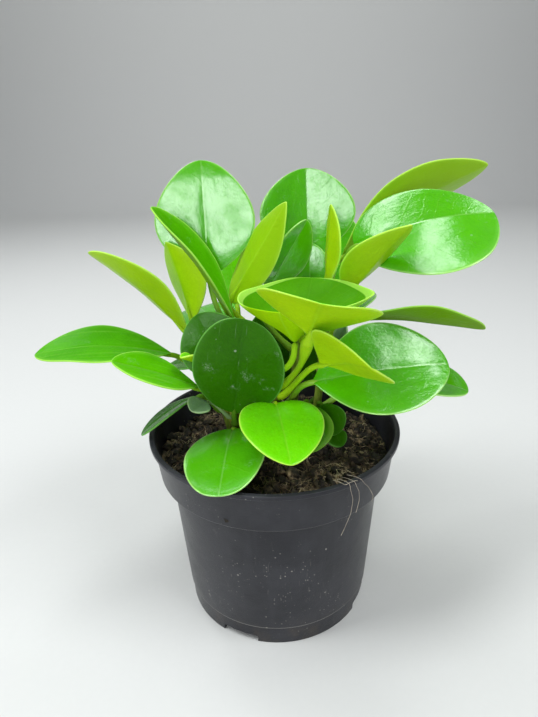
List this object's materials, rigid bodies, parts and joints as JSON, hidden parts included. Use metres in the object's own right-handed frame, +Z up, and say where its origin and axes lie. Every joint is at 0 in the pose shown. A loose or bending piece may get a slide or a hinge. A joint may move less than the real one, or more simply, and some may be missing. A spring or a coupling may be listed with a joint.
{
  "type": "potted peperomia",
  "caption": "Bushy peperomia houseplant with thick glossy rounded leaves on short stems, growing in potting soil in a small tapered black nursery pot with a collar rim.",
  "frame": {"origin": "centre of the pot's underside, on the surface it stands on", "axes": "+Z up along the pot's axis; -Y is the side that faces the viewer in the picture, +X is to the viewer's right"},
  "size_m": [0.207, 0.162, 0.214],
  "materials": {
    "pot_plastic": "satin black injection-moulded polypropylene with a fine moulded grain, dust and soil specks",
    "potting_mix": "dark damp peat and coconut fibre with pale strands and crumbs",
    "stem": "fleshy green stem flushed reddish brown at the nodes",
    "young_leaf": "bright yellow-green fleshy leaf, glossy on top, with a pale translucent edge",
    "leaf": "mid green fleshy leaf, very glossy on top, paler beneath, with a pale edge",
    "old_leaf": "dark green older leaf, glossy with dusty water marks and a pale edge"
  },
  "bodies": {
    "root": {"nursery_pot": "pot_plastic", "potting_soil": "potting_mix", "front_stem": "stem", "left_front_stem": "stem", "left_stem": "stem", "middle_stem": "stem", "back_stem": "stem", "right_stem": "stem", "low_right_stem": "stem", "rear_left_stem": "stem", "rear_right_stem": "stem", "front_low_leaf": "young_leaf", "right_gloss_leaf": "leaf", "funnel_leaf": "young_leaf", "boat_leaf": "young_leaf", "front_left_leaf": "leaf", "front_dark_leaf": "old_leaf", "silver_leaf": "old_leaf", "left_hidden_leaf": "old_leaf", "left_hang_leaf": "old_leaf", "left_front_leaf": "young_leaf", "left_low_leaf": "leaf", "left_long_leaf": "young_leaf", "curled_leaf": "young_leaf", "left_small_leaf": "young_leaf", "bowl_leaf": "young_leaf", "top_left_leaf": "leaf", "left_fold_leaf": "leaf", "up_yellow_leaf": "young_leaf", "up_dark_leaf": "leaf", "up_narrow_leaf": "young_leaf", "top_centre_leaf": "leaf", "up_shade_leaf": "leaf", "right_long_leaf": "leaf", "bud_leaf": "young_leaf", "right_near_leaf": "young_leaf", "right_big_leaf": "leaf", "right_top_leaf": "young_leaf", "low_small_leaf": "old_leaf", "low_shade_leaf": "old_leaf", "low_dark_leaf": "old_leaf", "right_behind_leaf": "leaf", "inner_left_leaf": "old_leaf", "inner_right_leaf": "old_leaf", "rear_side_leaf": "old_leaf", "rear_low_leaf": "old_leaf", "rear_left_leaf": "leaf", "rear_upright_leaf": "young_leaf", "rear_right_low_leaf": "leaf", "rear_centre_leaf": "young_leaf", "rear_right_leaf": "leaf", "rear_top_leaf": "leaf"}
  },
  "joints": []
}
